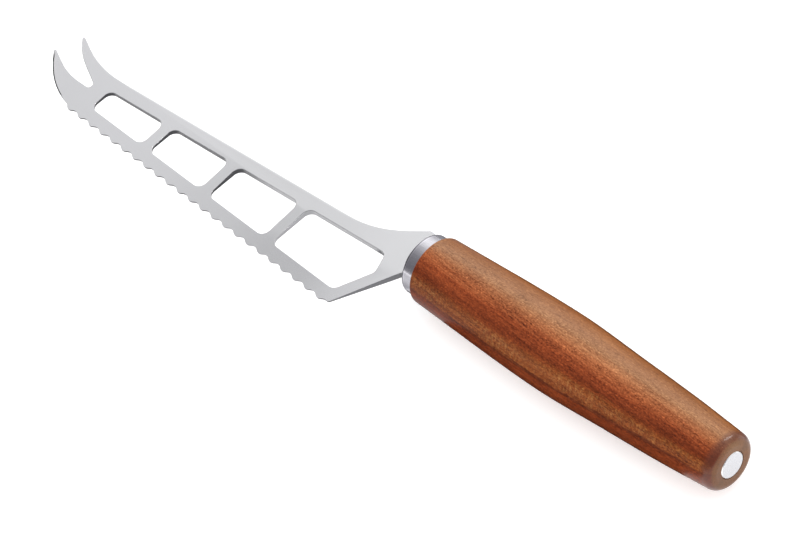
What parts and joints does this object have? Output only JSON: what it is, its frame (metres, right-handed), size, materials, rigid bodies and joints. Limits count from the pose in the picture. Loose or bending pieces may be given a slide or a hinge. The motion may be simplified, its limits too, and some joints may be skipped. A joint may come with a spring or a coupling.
{
  "type": "cheese knife",
  "caption": "Cheese knife with a windowed, scalloped steel blade, a forked tip, a steel ferrule and a turned wooden handle.",
  "frame": {"origin": "under the middle of the whole knife, at the height of the underside of the handle's belly, with the knife lying on its side", "axes": "+X runs along the handle's axis from the tip to the butt, +Y from the cutting edge to the spine, +Z square to the blade's flat side"},
  "size_m": [0.2736, 0.0394, 0.0243],
  "materials": {
    "blade_steel": "fine satin, with rounded and polished rims",
    "ferrule_steel": "turned, with fine rings round it",
    "handle_wood": "reddish brown fruit wood under a thin satin varnish",
    "rod_steel": "plain drawn bar",
    "nut_steel": "ground flat, with a polished chamfer"
  },
  "bodies": {
    "root": {"blade": "blade_steel", "ferrule": "ferrule_steel", "handle": "handle_wood", "tang_rod": "rod_steel", "end_nut": "nut_steel"}
  },
  "joints": []
}
